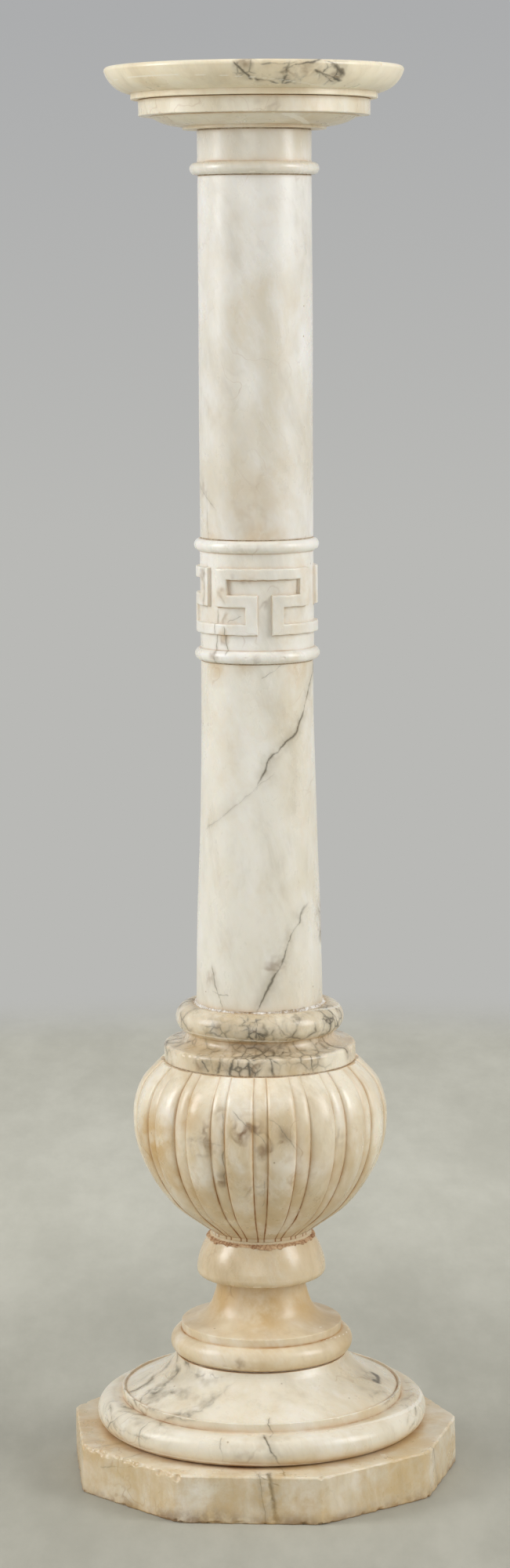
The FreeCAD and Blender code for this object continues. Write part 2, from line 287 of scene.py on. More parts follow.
def solid_mesh(name, grid):
    """A solid of revolution from a grid whose outline starts and ends on the axis."""
    vertices = grid[:, 1:-1].reshape(-1, 3).tolist()
    first, last = len(vertices), len(vertices) + 1
    vertices += [grid[0, 0].tolist(), grid[0, -1].tolist()]
    index = np.arange(first).reshape(len(grid), -1)
    faces = quads(index)
    for here, right in zip(index.tolist(), np.roll(index, -1, axis=0).tolist()):
        faces += [[first, right[0], here[0]], [last, here[-1], right[-1]]]
    return mesh_object(name, vertices, faces)


def dirt_and_shade(piece, amount):
    """Keep how much dirt and painted shade each point holds, for the material to read."""
    kept = piece.data.attributes.new("dirt_and_shade", "FLOAT", "POINT")
    kept.data.foreach_set("value", np.ascontiguousarray(amount, np.float32).ravel())
    return piece


def corner_dirt_and_shade(points, angles, corners):
    """Dirt and painted shade in the inner corners of the mouldings, unevenly round the stone."""
    theta, r, z = spread(points, angles)
    amount = np.zeros_like(r)
    for corner_r, corner_z in corners:
        away = np.hypot(r - corner_r, z - corner_z)
        amount = np.maximum(amount, np.exp(-((away / DARK_CORNER_REACH) ** 2)))
    return amount * (0.75 + 0.25 * np.sin(np.radians(theta) * 3 + z))


# ---- stones

def polygon_radius(theta, rounding=1.4):
    """Radius of the nine-sided slab at each angle, with its corners worn."""
    turn = np.radians(theta)
    total = np.zeros_like(turn)
    ends = PLINTH_CORNERS[1:] + (PLINTH_CORNERS[0] + 360,)
    for first, last in zip(PLINTH_CORNERS, ends):
        half = math.radians(last - first) / 2
        face = PLINTH_CORNER_RADIUS * math.cos(half)
        lean = np.cos(turn - math.radians(first + last) / 2)
        reach = np.where(lean > 0.2, face / np.maximum(lean, 0.2), face * 5)
        total += np.exp(-reach / rounding)
    return -rounding * np.log(total)


def plinth_shape(theta, r, z):
    """Stretch the slab from a disc to its nine sides; its mouldings stay round."""
    share = np.clip((r - TORUS_FOOT) / (PLINTH_CORNER_RADIUS - TORUS_FOOT), 0, None)
    share = np.where(z <= SLAB_HEIGHT + 0.01, share, 0)
    saw = 0.25 * np.sin(theta * 0.9 + z * 0.11) + 0.2 * np.sin(theta * 2.3 + z * 0.05)
    return r + share * (polygon_radius(theta) - PLINTH_CORNER_RADIUS + saw), z


def plinth_base():
    """Slab, torus, lip and dome in one block, with the recess for the lower nut under it."""
    side = outline((154.6, 0), [
        (PLINTH_CORNER_RADIUS, 1), (PLINTH_CORNER_RADIUS, SLAB_HEIGHT - 1.3),
        (PLINTH_CORNER_RADIUS - 1.3, SLAB_HEIGHT), (TORUS_FOOT, SLAB_HEIGHT),
        ((130.6, 49), (TORUS_FOOT, 60.8)), LIP_FOOT, (110.9, 68.2), (109.3, 68.2), LIP_BACK,
        [(98, 72), (87, 77.5), (77, 83.5), (70.5, 89.5), (67.5, PLINTH_HEIGHT)],
    ])
    inside = [(BORE, PLINTH_HEIGHT), (BORE, RECESS_HEIGHT), (RECESS_RADIUS, RECESS_HEIGHT)]
    points = graded(worn([(RECESS_RADIUS, 0)] + side + inside, joints=(PLINTH_HEIGHT,)))
    angles = columns(TURNED_COLUMNS, near(PLINTH_CORNERS, (0, 0.12, 0.25, 0.4, 0.6)))
    grid = turn_grid(points, angles, "plinth_base", plinth_shape)
    wobble(grid, 11)
    top_edge = (PLINTH_CORNER_RADIUS - 0.6, SLAB_HEIGHT - 0.6)
    chips(grid, points, top_edge, 26, (2.5, 6.5), 3, angles=(-64, -26))
    chips(grid, points, top_edge, 44, (2, 4.5), 4)
    chips(grid, points, (155, 0.6), 40, (2.5, 6), 5)
    chips(grid, points, (110.8, 68), 16, (1.5, 3.2), 6)
    return dirt_and_shade(ring_mesh("plinth_stone", grid), corner_dirt_and_shade(points, angles, [LIP_FOOT, LIP_BACK]))


def turned_stone(name, node, start, moves, height, seed, edges=(), swell=0.16, corners=()):
    """A plain turned stone; dirt and painted shade in its corners, chips along edges: (point, count, sizes).
    """
    points = turned_outline(start, moves, height)
    grid = turn_grid(points, columns(), node)
    wobble(grid, seed, swell)
    for number, (edge, count, sizes) in enumerate(edges):
        chips(grid, points, edge, count, sizes, seed * 10 + number)
    return dirt_and_shade(ring_mesh(name, grid), corner_dirt_and_shade(points, columns(), corners))


def spool_foot():
    dish = (63.3, 18.2)
    moves = [((72, 9.2), (63.8, 18.2)), dish, (63.3, 24.6), (62.6, 24.9),
             [(52, 27.6), (44.5, 32.2), (40, 38), (37, 46), (35, 54), (34.5, 61)]]
    return turned_stone("spool_stone", "spool_foot", (66, 0), moves, 61, 21, [((62.9, 24.7), 9, (1.4, 2.6))],
                        corners=[dish])


def bell_knop():
    moves = [((50.1, 2.3), (50.9, 6.2)), [(50.1, 12.6), (46.8, 22.8), (42.3, 31.2)]]
    return turned_stone("bell_stone", "bell_knop", (46.8, 0), moves, 31.2, 31, [((46.8, 0.2), 6, (1.2, 2.2))])


def beside_bead(theta):
    """Angle from the middle of the nearest bead."""
    return np.mod(theta + LOBE_STEP / 2, LOBE_STEP) - LOBE_STEP / 2


def gadroons(theta, r, z):
    """Carve the bulb: wide crowned lobes, and narrow lower beads between sharp grooves."""
    place = beside_bead(theta)
    bead = np.abs(place) / BEAD_HALF_ANGLE
    lobe = (LOBE_STEP / 2 - np.abs(place)) / (LOBE_STEP / 2 - BEAD_HALF_ANGLE)
    bead_cut = BEAD_DEPTH + (GROOVE_DEPTH - BEAD_DEPTH) * bead**2.4
    lobe_cut = GROOVE_DEPTH * (0.4 * lobe**2 + 0.6 * lobe**12)
    cut = np.where(bead < 1, bead_cut, lobe_cut)
    uneven = 1 + 0.14 * np.sin(np.round((theta - place) / LOBE_STEP) * 2.3 + z * 0.02)
    carved = np.clip((r - 40) / 8, 0, 1) * (z > 2.5)
    return r * (1 - cut * uneven * carved), z


def groove_dirt_and_shade(theta, r, z):
    """Dirt and painted shade packed in the grooves, most of it low on the bulb, and rubbed over the beads."""
    off = (np.abs(beside_bead(theta)) - BEAD_HALF_ANGLE) * np.radians(r)
    low = np.clip(1.1 - z / 190, 0.35, 1)
    packed_dirt_and_shade = np.exp(-((off / 0.8) ** 2)) * low
    patchy = 0.6 + 0.4 * np.sin(np.radians(theta * 3))
    rubbed = np.exp(-np.abs(off) / 3.6) * np.where(off < 0, 0.5, 0.3) * patchy
    return np.where(r > BORE + 1, np.maximum(packed_dirt_and_shade, rubbed), 0)


def fluted_bulb():
    height = 139.4
    points = turned_outline((39.4, 0), [
        (39.4, 2.4),
        [(50.5, 9.9), (71.5, 26.4), (88, 48.4), (97.2, 70.4), (100, 90.4), (98.6, 108.4), (91.8, 125.4),
         (78.4, height)],
    ], height)
    grooves = near([LOBE_STEP * k for k in range(LOBES)], (BEAD_HALF_ANGLE,))
    angles = columns(CARVED_COLUMNS, near(grooves, (0, 0.08, 0.2, 0.4, 0.7, 1.2)))
    grid = turn_grid(points, angles, "fluted_bulb", gadroons)
    wobble(grid, 41, 0.3)
    return dirt_and_shade(ring_mesh("bulb_stone", grid), groove_dirt_and_shade(*spread(points, angles)))


def collar():
    under_torus = (58, 23)
    moves = [(75.2, 10.2), ((74.4, 12.3), (72.5, 13.2)), [(67, 13.8), (61, 15.8), (58, 19.5), under_torus],
             (59.5, 23), ((65.9, 33), (51.5, 43.8)), (50.5, 44)]
    return turned_stone("collar_stone", "collar", (75.2, 0), moves, 44, 51,
                        [((75, 11), 14, (1.4, 3)), ((75.2, 0.2), 10, (1.2, 2.4))], corners=[under_torus])


def lower_shaft():
    height = 269.2
    moves = [[(48.1, 72), (45.8, 134), (43.9, 212), (43.5, height)]]
    return turned_stone("lower_shaft_stone", "lower_shaft", (49.5, 0), moves, height, 61,
                        [((49.5, 0.3), 7, (1.2, 2.4))], 0.22)


def key_bars():
    """Every bar of the key as (first angle, last angle, low, high)."""
    bars = []
    for centre, following in zip(KEY_CENTRES, KEY_CENTRES[1:] + (KEY_CENTRES[0] + 360,)):
        bars.append((centre - KEY_OUTER_END, centre + KEY_OUTER_END, *KEY_TOP_BAR))
        bars.append((centre + KEY_INNER, following - KEY_INNER, *KEY_LOW_BAR))
        for near_end, far_end, low, high in (
            (KEY_OUTER, KEY_OUTER_END, KEY_MIDDLE_BAR[0], KEY_TOP_BAR[1]),
            (KEY_INNER, KEY_INNER_END, KEY_LOW_BAR[0], KEY_MIDDLE_BAR[1]),
            (KEY_INNER, KEY_OUTER_END, *KEY_MIDDLE_BAR),
        ):
            bars.append((centre + near_end, centre + far_end, low, high))
            bars.append((centre - far_end, centre - near_end, low, high))
    return bars


def key_relief(theta, r, z):
    """Raise the key's bars from the band, with steep sides and softened edges."""
    inside = np.full(theta.shape, 50)
    shaky = 0.3 * np.sin(theta * 0.31 + z * 0.2) + 0.2 * np.sin(theta * 0.83 - z * 0.35)
    for first, last, low, high in key_bars():
        middle, half = (first + last) / 2, (last - first) / 2
        across = (np.abs(np.mod(theta - middle + 180, 360) - 180) - half) * math.radians(BAND_RADIUS)
        upright = np.abs(z - (low + high) / 2) - (high - low) / 2
        inside = np.minimum(inside, np.maximum(across, upright))
    depth = -(inside + shaky * 0.4)
    wall = np.clip(depth / 0.35, 0, 1)
    crown = 1 - (1 - np.clip(depth / 1.5, 0, 1)) ** 2
    raised = KEY_RELIEF * (0.85 * wall + 0.15 * crown)
    return np.where(r > BORE + 1, r + raised, r), z


def key_dirt_and_shade(theta, r, z):
    """Dirt and painted shade along the foot of the bars, most of it under them."""
    here = key_relief(theta, r, z)[0]
    above = key_relief(theta, r, z + 0.9)[0] - here
    beside = np.maximum(key_relief(theta - 1.2, r, z)[0], key_relief(theta + 1.2, r, z)[0]) - here
    below = key_relief(theta, r, z - 0.9)[0] - here
    mask = np.maximum(np.maximum(above, 0.4 * beside), 0.3 * below) / KEY_RELIEF
    corners = np.exp(-(np.minimum(np.abs(z - RING_HEIGHT), np.abs(z - BAND_HEIGHT + RING_HEIGHT)) / 0.8) ** 2)
    return np.where(np.abs(r - BAND_RADIUS) < 0.3, np.clip(np.maximum(mask, corners), 0, 1), 0)


def key_band():
    side = BAND_RADIUS + 0.5
    top_ring = BAND_HEIGHT - RING_HEIGHT
    ring_radius = 48.5
    levels = [*KEY_LOW_BAR, *KEY_MIDDLE_BAR, *KEY_TOP_BAR]
    face = [(BAND_RADIUS, z) for z in sorted(near(levels, (0, 0.18, 0.35, 0.6, 1, 1.6)))]
    low_ring = [((ring_radius, RING_HEIGHT / 2), (side, RING_HEIGHT)), (BAND_RADIUS, RING_HEIGHT)]
    high_ring = [(BAND_RADIUS, top_ring), (side, top_ring),
                 ((ring_radius, top_ring + RING_HEIGHT / 2), (side, BAND_HEIGHT))]
    points = turned_outline((side, 0), low_ring + face + high_ring, BAND_HEIGHT)
    ends = [angle for bar in key_bars() for angle in bar[:2]]
    angles = columns(CARVED_COLUMNS, near(ends, (0, 0.2, 0.4, 0.7, 1.2, 2)))
    grid = turn_grid(points, angles, "key_band", key_relief)
    wobble(grid, 71)
    for level, seed in ((RING_HEIGHT / 2, 72), (top_ring + RING_HEIGHT / 2, 73)):
        chips(grid, points, (ring_radius, level), 4, (1.5, 3), seed)
    return dirt_and_shade(ring_mesh("key_stone", grid), key_dirt_and_shade(*spread(points, angles)))


def upper_shaft():
    height = 275.2
    return turned_stone("upper_shaft_stone", "upper_shaft", (SHAFT_RADIUS, 0),
                        [[(43.9, height / 2), (SHAFT_RADIUS, height)]], height, 81,
                        [((SHAFT_RADIUS, 0.3), 5, (1.2, 2.2))], 0.22)


def neck_ring():
    moves = [((49.7, 4.7), (44.6, 9.4)), (SHAFT_RADIUS, 9.4), (SHAFT_RADIUS, 33.4)]
    return turned_stone("neck_stone", "neck_ring", (44.6, 0), moves, 33.4, 91, corners=[(SHAFT_RADIUS, 9.4)])


def capital():
    """The capital, with the hollow for the upper nut in its top."""
    height, hollow_radius, hollow_foot = 22.3, 25, 7.3
    fillet_top, under_band = (56, 2.3), (79, 10.2)
    side = outline((54.9, 0), [(54.9, 2.2), fillet_top, ((69, 4.6), (79, 9.6)), under_band, (88.4, 10.2),
                               (88.4, height)])
    inside = [(hollow_radius, height), (hollow_radius, hollow_foot), (BORE, hollow_foot)]
    points = graded(worn([(BORE, 0)] + side + inside, joints=(0,)))
    grid = turn_grid(points, columns(), "capital")
    wobble(grid, 101)
    chips(grid, points, (88.4, 10.4), 12, (1.2, 2.6), 102)
    return dirt_and_shade(ring_mesh("capital_stone", grid), corner_dirt_and_shade(points, columns(), [under_band, fillet_top]))


def top_basin():
    """The basin, flat-floored, with the socket for the pivot sleeve under it."""
    middle_of_floor = (0, 13.4)
    section = outline((0, 8), [
        (7, 8), (7, 0), (94.1, 0), (94.1, 4.6), (96, 4.6), ((108.8, 11.6), (114.4, 21.2)),
        ((113.6, 23.4), (111.4, 24.4)), (104, 24.4), ((103, 24.1), (102.5, 23)), ((98.2, 16.2), (88, 13.4)),
        middle_of_floor,
    ])
    points = graded(worn(section))
    points = points[:points.index(middle_of_floor) + 1]
    grid = turn_grid(points, columns(), "top_basin")
    wobble(grid, 111, 0.2)
    rim = (112.4, 24.2)
    chips(grid, points, rim, 2, (4.5, 5.5), 112, angles=(53, 57))
    chips(grid, points, rim, 12, (1.2, 2.6), 113)
    return solid_mesh("basin_stone", grid)


# ---- joints that show

def lumps(theta, seed, waves):
    """An uneven line round the axis, from -1 to 1."""
    rng = random.Random(seed)
    total = np.zeros_like(theta)
    for wave in waves:
        total += rng.uniform(0.5, 1) * np.sin(np.radians(theta) * wave + rng.uniform(0, math.tau))
    return total / (0.75 * len(waves)) ** 0.5 / 1.2


def roughen(grid, scale, amount, least_radius):
    """Crumble a surface by a fine noise, but for what lies nearer the axis than least_radius."""
    for point in grid.reshape(-1, 3):
        radius = math.hypot(point[0], point[1])
        if radius > least_radius * MM:
            gain = 1 + noise.noise(Vector(point) * scale) * amount * MM / radius
            point[:2] *= gain
            point[2] += noise.noise(Vector(point) * scale * 1.3 + Vector((7, 3, 1))) * amount * 0.6 * MM


def cement():
    """Brown cement squeezed out under the bulb, run down in places over the bell's shoulder."""
    bell_slope = 0.54

    def squeezed(theta, r, z):
        drip = 0.3 + 0.8 * lumps(theta, 5, (3, 5, 9, 14)) + 0.7 * lumps(theta, 6, (23, 37, 61))
        drip += 1.6 * np.exp(-(((theta + 180) % 360 - 183) / 14) ** 2)
        low = np.where(z < 0, z * np.clip(drip, 0.05, 2.8), z)
        swell = 0.45 * lumps(theta, 7, (4, 7, 13, 29)) * np.clip((r - 39) / 3, 0, 1)
        return r + swell - bell_slope * np.minimum(low, 0), low

    section = [(BORE, 0), (41, 0), (41.9, -0.3), (41.9, -0.8), (42.2, -1), (42.6, -0.97), (42.8, -0.7),
               (42.9, -0.3), (42.8, 0.3), (42.3, 0.9), (41.5, 1.3), (40.6, 1.6), (39.9, 2.2), (39.6, 3),
               (39.4, 3.6), (BORE, 3.6)]
    grid = turn_grid(graded(section, 0.4, 1.25, 2), columns(JOINT_COLUMNS), "bulb_cement", squeezed)
    roughen(grid, 700, 0.55, 39.5)
    return ring_mesh("cement_squeeze", grid)


def plaster():
    """White plaster left in the corner between the shaft and the collar."""
    shaft_side, bed_top = 49, 1.3

    def ragged(theta, r, z):
        left = 0.05 + 0.5 * np.abs(np.sin(np.radians(theta)))
        left += 0.3 * lumps(theta, 8, (2, 5, 11, 17)) + 0.3 * lumps(theta, 9, (31, 53, 79))
        left = np.clip(left, -0.3, 1.1)
        r = np.where(r > 45, shaft_side + (r - shaft_side) * (0.25 + 0.75 * left), r)
        return r, np.where(z > bed_top, bed_top + (z - bed_top) * left, z)

    section = [(BORE, 0), (50.4, 0), (52.2, -0.35), (52.6, -0.1), (51.4, 0.5), (50.4, 1.2), (49.9, 2.2),
               (49.3, 2.5), (49.1, 1.2), (BORE, 1.2)]
    grid = turn_grid(graded(section, 0.35, 1.25, 2), columns(JOINT_COLUMNS), "shaft_plaster", ragged)
    roughen(grid, 900, 0.4, 49.2)
    return ring_mesh("plaster_fillet", grid)


# ---- materials

LONG_VEIN = 0.045


def rgb(red, green, blue):
    """A colour given as it looks on a screen, 0 to 255."""
    return tuple(((c / 255 + 0.055) / 1.055) ** 2.4 for c in (red, green, blue)) + (1,)


class Graph:
    """The nodes of a material or the world, with a short call for each kind."""

    def __init__(self, owner, shader="Principled BSDF", coordinates="Object"):
        owner.use_nodes = True
        self.owner = owner
        self.tree = owner.node_tree
        self.shader = self.tree.nodes[shader]
        self.place = self.node("TexCoord").outputs[coordinates]

    def feed(self, socket, value):
        if isinstance(value, bpy.types.NodeSocket):
            self.tree.links.new(value, socket)
        else:
            socket.default_value = rgb(*value) if socket.type == "RGBA" else value

    def node(self, kind, inputs=(), **settings):
        made = self.tree.nodes.new("ShaderNode" + kind)
        for key, value in settings.items():
            setattr(made, key, value)
        for socket, value in dict(inputs).items():
            self.feed(made.inputs[socket], value)
        return made

    def math(self, operation, first, second=0, clamp=False):
        return self.node("Math", {0: first, 1: second}, operation=operation, use_clamp=clamp).outputs[0]

    def times(self, *factors):
        return reduce(lambda one, two: self.math("MULTIPLY", one, two), factors)

    def either(self, *masks):
        """The strongest of several masks."""
        return reduce(lambda one, two: self.math("MAXIMUM", one, two), masks)

    def vector(self, operation, first, second):
        made = self.node("VectorMath", {0: first, 1: second}, operation=operation)
        return made.outputs["Value" if operation in ("DOT_PRODUCT", "DISTANCE", "LENGTH") else "Vector"]

    def ramp(self, value, low, high, start=0, end=1):
        """A smooth step of value between low and high, from start to end."""
        inputs = {"Value": value, "From Min": low, "From Max": high, "To Min": start, "To Max": end}
        return self.node("MapRange", inputs, interpolation_type="SMOOTHSTEP").outputs["Result"]

    def noise(self, place, scale, detail=3, roughness=0.55, colour=False):
        inputs = {"Vector": place, "Scale": scale, "Detail": detail, "Roughness": roughness}
        return self.node("TexNoise", inputs).outputs["Color" if colour else "Fac"]

    def moved(self, place, shift):
        return self.vector("ADD", place, (shift, shift * 0.7, -shift * 1.3))

    def stirred(self, place, scale, amount):
        """The place pushed about by a noise, by about amount."""
        push = self.vector("SUBTRACT", self.noise(place, scale, 2, 0.5, colour=True), (0.5, 0.5, 0.5))
        return self.vector("ADD", place, self.vector("MULTIPLY", push, (2 * amount,) * 3))

    def mix(self, factor, under, over):
        return self.node("Mix", {"Factor": factor, 6: under, 7: over}, data_type="RGBA").outputs[2]

    def bump(self, height, distance, strength=1, normal=None):
        inputs = {"Height": height, "Distance": distance, "Strength": strength}
        if normal:
            inputs["Normal"] = normal
        return self.node("Bump", inputs).outputs["Normal"]

    def finish(self, **inputs):
        for name, value in inputs.items():
            self.feed(self.shader.inputs[name.replace("_", " ")], value)
        return self.owner


def surface_point(piece, angle, percent):
    """The outermost point of a turned piece at an angle, at a percentage of its height."""
    points = np.empty(len(piece.data.vertices) * 3, np.float32)
    piece.data.vertices.foreach_get("co", points)
    points = points.reshape(-1, 3)
    x, y, z = points.T
    turn = math.radians(angle)
    outward = x * math.sin(turn) - y * math.cos(turn)
    off = np.abs(x * math.cos(turn) + y * math.sin(turn))
    off = off + np.abs(z - z.min() - percent / 100 * (z.max() - z.min()))
    return Vector(points[np.argmin(off - 0.2 * outward)].tolist())


def sheet(g, piece, points, long_place, short_place):
    """The sheet through three surface points: the distance from it and from its middle, and its reach.

    A sheet that would lie along the surface is turned edge on to it. A sheet that reaches further than
    LONG_VEIN is crumpled like the long place, a smaller one like the short place."""
    first, middle, last = (surface_point(piece, *point) for point in points)
    normal = (first - middle).cross(last - middle).normalized()
    outward = Vector((middle.x, middle.y, 0)).normalized()
    if abs(normal.dot(outward)) > 0.6:
        normal = (last - first).cross(outward).normalized()
    reach = max((first - middle).length, (last - middle).length)
    place = long_place if reach > LONG_VEIN else short_place
    off = g.math("ABSOLUTE", g.vector("DOT_PRODUCT", g.vector("SUBTRACT", place, middle), normal))
    return off, g.vector("DISTANCE", place, middle), reach


def vein(g, places, uneven, piece, first, middle, last, width, halo, strength):
    """A vein through three surface points, with smoke beside it. Width and halo in mm."""
    off, away, reach = sheet(g, piece, (first, middle, last), *places)
    inside = g.ramp(away, reach * 0.8, reach * 1.12, strength, 0)
    line = g.math("SUBTRACT", 1, g.math("DIVIDE", off, g.times(uneven, width * 2 * MM)), clamp=True)
    line = g.times(line, inside, g.ramp(uneven, 0.32, 0.55, 0.3, 1))
    near_smoke = g.ramp(off, 0, halo * 0.35 * MM, 1.15, 0)
    far_smoke = g.ramp(off, 0, halo * MM, 0.55, 0)
    patchy = g.times(inside, g.ramp(uneven, 0.35, 0.6, 0.15, 0.85))
    return line, g.times(g.either(near_smoke, far_smoke), patchy)


def bundle(g, places, uneven, piece, first, middle, last, gap, width, strength):
    """Thin veins that flow side by side, a gap apart, on both sides of a sheet. Gap and width in mm."""
    off, away, reach = sheet(g, piece, (first, middle, last), places[0], places[0])
    inside = g.ramp(away, reach * 0.5, reach * 1.15, strength, 0)
    inside = g.times(inside, g.ramp(off, width * 0.3 * MM, width * MM, 1, 0))
    inside = g.times(inside, g.ramp(uneven, 0.36, 0.6, 0.1, 1))
    wave = g.math("PINGPONG", off, gap * 0.5 * MM)
    line = g.ramp(wave, 0, gap * 0.1 * MM, 0.6, 0)
    soft = g.ramp(wave, 0, gap * 0.42 * MM, 0.8, 0)
    return g.times(line, inside), g.times(soft, inside)


def web(g, places, uneven, piece, centre, reach, cell, strength):
    """A net of fine veins about a surface point. Reach and cell size in mm."""
    middle = surface_point(piece, *centre)
    place = places[1]
    inside = g.ramp(g.vector("DISTANCE", place, middle), reach * 0.4 * MM, reach * MM, strength, 0)
    net = g.node("TexVoronoi", {"Vector": place, "Scale": 1 / (cell * MM)}, feature="DISTANCE_TO_EDGE")
    cells = net.outputs["Distance"]
    broken = g.times(inside, g.ramp(uneven, 0.36, 0.58))
    line = g.times(g.ramp(cells, 0, 0.09, 1, 0), broken)
    soft = g.times(g.ramp(cells, 0, 0.4, 0.8, 0), g.ramp(uneven, 0.3, 0.6, 0.2, 1), inside)
    return line, soft


def blot(g, place, walls, piece, centre, reach, strength):
    """A smoky patch of soft, wispy veins about a surface point. Reach in mm."""
    away = g.vector("DISTANCE", place, surface_point(piece, *centre))
    inside = g.ramp(away, reach * 0.2 * MM, reach * MM, strength, 0)
    core = g.ramp(away, 0, reach * 0.5 * MM, 0.5 * strength, 0)
    return g.either(g.times(inside, walls), core)


def tint(g, place, piece, centre, reach, strength):
    """A soft round patch about a surface point. Reach in mm."""
    away = g.vector("DISTANCE", place, surface_point(piece, *centre))
    return g.ramp(away, reach * 0.15 * MM, reach * MM, strength, 0)


def ridge(g, value, width):
    """A thin line where a noise crosses its middle."""
    return g.ramp(g.math("ABSOLUTE", g.math("SUBTRACT", value, 0.5)), 0, width, 1, 0)


def alabaster(name, piece, seed, light, cloud, veins=(), bundles=(), webs=(), blots=(), ochre=(), pale=(),
              wild=0, brown=0.25, dirt=1, deep=0.5, gloss=0.3, stain=None):
    """Polished alabaster: clouds, wisps, the stone's own veins, dirt and painted shade in its hollows,
    painted warm shade where nearby parts shelter it, and worn edges lightened with painted highlights.

    A vein or bundle is given by three points and its measures; a web, a blot, or a patch of ochre, of painted
    ochre shade or of pale stone by its centre and its measures, strength last. A point is an angle and a
    percentage of the stone's height."""
    g = Graph(bpy.data.materials.new(name))
    place = g.moved(g.place, seed)
    slow = g.vector("MULTIPLY", g.stirred(place, 7, 0.022), (1, 1, 0.6))
    kinked = g.stirred(g.stirred(g.stirred(place, 16, 0.009), 48, 0.0035), 160, 0.0011)
    crumpled = g.moved(kinked, -seed)
    calm = g.moved(g.stirred(g.stirred(place, 60, 0.0032), 160, 0.0014), -seed)
    uneven = g.noise(place, 60, 4, 0.62)

    clouds = g.noise(slow, 12, 5, 0.6)
    colour = g.mix(g.ramp(clouds, 0.4, 0.68), light, cloud)
    mottle = g.noise(g.moved(slow, 3.1), 42, 5, 0.65)
    shaded = tuple(0.46 * l + 0.46 * c for l, c in zip(light, cloud))
    colour = g.mix(g.ramp(mottle, 0.48, 0.78, 0, 0.5), colour, shaded)
    leaning = g.node("VectorRotate", {"Vector": slow, "Axis": (0.2, 1, 0), "Angle": 0.7}).outputs[0]
    wisps = g.noise(g.vector("MULTIPLY", leaning, (1, 1, 0.28)), 34, 6, 0.68)
    colour = g.mix(g.ramp(wisps, 0.5, 0.7, 0, 0.5), colour, tuple(0.45 * l + 136 for l in light))
    colour = g.mix(g.ramp(wisps, 0.5, 0.3, 0, 0.4), colour, tuple(0.9 * c for c in cloud))

    for patches, shade_of in ((ochre, (199, 166, 112)), (pale, (247, 243, 233))):
        if patches:
            spread_out = g.either(*(tint(g, crumpled, piece, *spec) for spec in patches))
            colour = g.mix(g.times(spread_out, g.ramp(uneven, 0.35, 0.6, 0.4, 1)), colour, shade_of)

    walls = ridge(g, g.noise(g.moved(kinked, 2.2), 26, 3, 0.55), 0.05)
    if blots:
        smoke = g.either(*(blot(g, calm, walls, piece, *spec) for spec in blots))
        colour = g.mix(g.times(smoke, g.ramp(uneven, 0.3, 0.6, 0.4, 1)), colour, (136, 108, 78))

    strays = g.noise(g.moved(kinked, 9.3), 9, 3, 0.55)
    rare = g.ramp(g.noise(g.moved(slow, 1.7), 9, 2), 0.52, 0.68, 0, wild)
    lines = [g.times(ridge(g, strays, 0.007), rare)]
    shades = [g.times(ridge(g, strays, 0.06), rare)]
    for make, specs in ((vein, veins), (bundle, bundles), (web, webs)):
        for spec in specs:
            line, shade = make(g, (crumpled, calm), uneven, piece, *spec)
            lines.append(line)
            shades.append(shade)
    colour = g.mix(g.either(*shades), colour, (160, 149, 127))
    line = g.either(*lines)
    colour = g.mix(line, colour, (88, 82, 70))
    hair = ridge(g, g.noise(g.moved(kinked, 12.9), 14, 3, 0.6), 0.008)
    hair_part = g.ramp(g.noise(g.moved(place, 4.4), 16, 2), 0.54, 0.68)
    colour = g.mix(g.times(hair, hair_part, brown * 1.2), colour, (158, 120, 82))
    warm = g.ramp(g.noise(g.moved(place, 6.6), 20, 5, 0.7), 0.48, 0.76, 0, brown)
    colour = g.mix(warm, colour, (208, 178, 126))

    # Painted warm ochre shade where nearby parts shelter the stone, read from a wide ambient occlusion.
    wide = g.node("AmbientOcclusion", {"Distance": 0.06}, samples=4).outputs["AO"]
    colour = g.mix(g.ramp(wide, 0.2, 0.85, 0.42 * dirt, 0), colour, (208, 178, 130))
    # Brown dirt and painted shade in hollows and corners, from a close ambient occlusion and the kept amount.
    open_share = g.node("AmbientOcclusion", {"Distance": 0.009}, samples=6).outputs["AO"]
    kept = g.node("Attribute", attribute_name="dirt_and_shade").outputs["Fac"]
    smudged = g.ramp(g.noise(g.moved(place, 8.1), 24, 4, 0.65), 0.34, 0.66, 0.2, 1.3)
    hollow_dirt_and_shade = g.times(g.either(g.ramp(open_share, 0.3, 0.85, 1, 0), kept), smudged)
    colour = g.mix(g.math("MULTIPLY", hollow_dirt_and_shade, 0.6 * dirt, clamp=True), colour, (192, 148, 92))
    # Darker brown dirt and painted shade where it lies deepest.
    packed_dirt_and_shade = g.times(g.either(g.ramp(open_share, 0, 0.35, 1, 0), g.ramp(kept, 0.55, 0.95)), smudged)
    colour = g.mix(g.math("MULTIPLY", packed_dirt_and_shade, deep, clamp=True), colour, (142, 92, 48))

    if stain:
        level, depth, amount = stain
        height = g.node("SeparateXYZ", {"Vector": crumpled}).outputs["Z"]
        spots = g.noise(g.moved(kinked, 5.2), 30, 5, 0.7)
        low = g.times(g.ramp(height, level - depth, level + depth, 1, 0), g.ramp(spots, 0.36, 0.64, 0.15, 1))
        colour = g.mix(g.times(low, amount), colour, (201, 170, 114))
        foot = g.times(g.ramp(height, 0, 0.012, 1, 0), g.ramp(uneven, 0.36, 0.6))
        colour = g.mix(g.times(foot, amount), colour, (126, 90, 54))

    # Worn edges lightened, as wear and as painted highlights.
    edge_wear_and_highlight = g.ramp(g.node("NewGeometry").outputs["Pointiness"], 0.53, 0.62)
    colour = g.mix(g.times(edge_wear_and_highlight, 0.5), colour, (248, 243, 230))

    pits = g.node("TexVoronoi", {"Vector": place, "Scale": 95}, feature="F1")
    chosen = g.ramp(g.node("SeparateColor", {0: pits.outputs["Color"]}).outputs[0], 0.93, 0.96)
    pit = g.times(g.ramp(pits.outputs["Distance"], 0.04, 0.1, 1, 0), chosen)
    colour = g.mix(g.times(pit, 0.55), colour, (140, 108, 74))

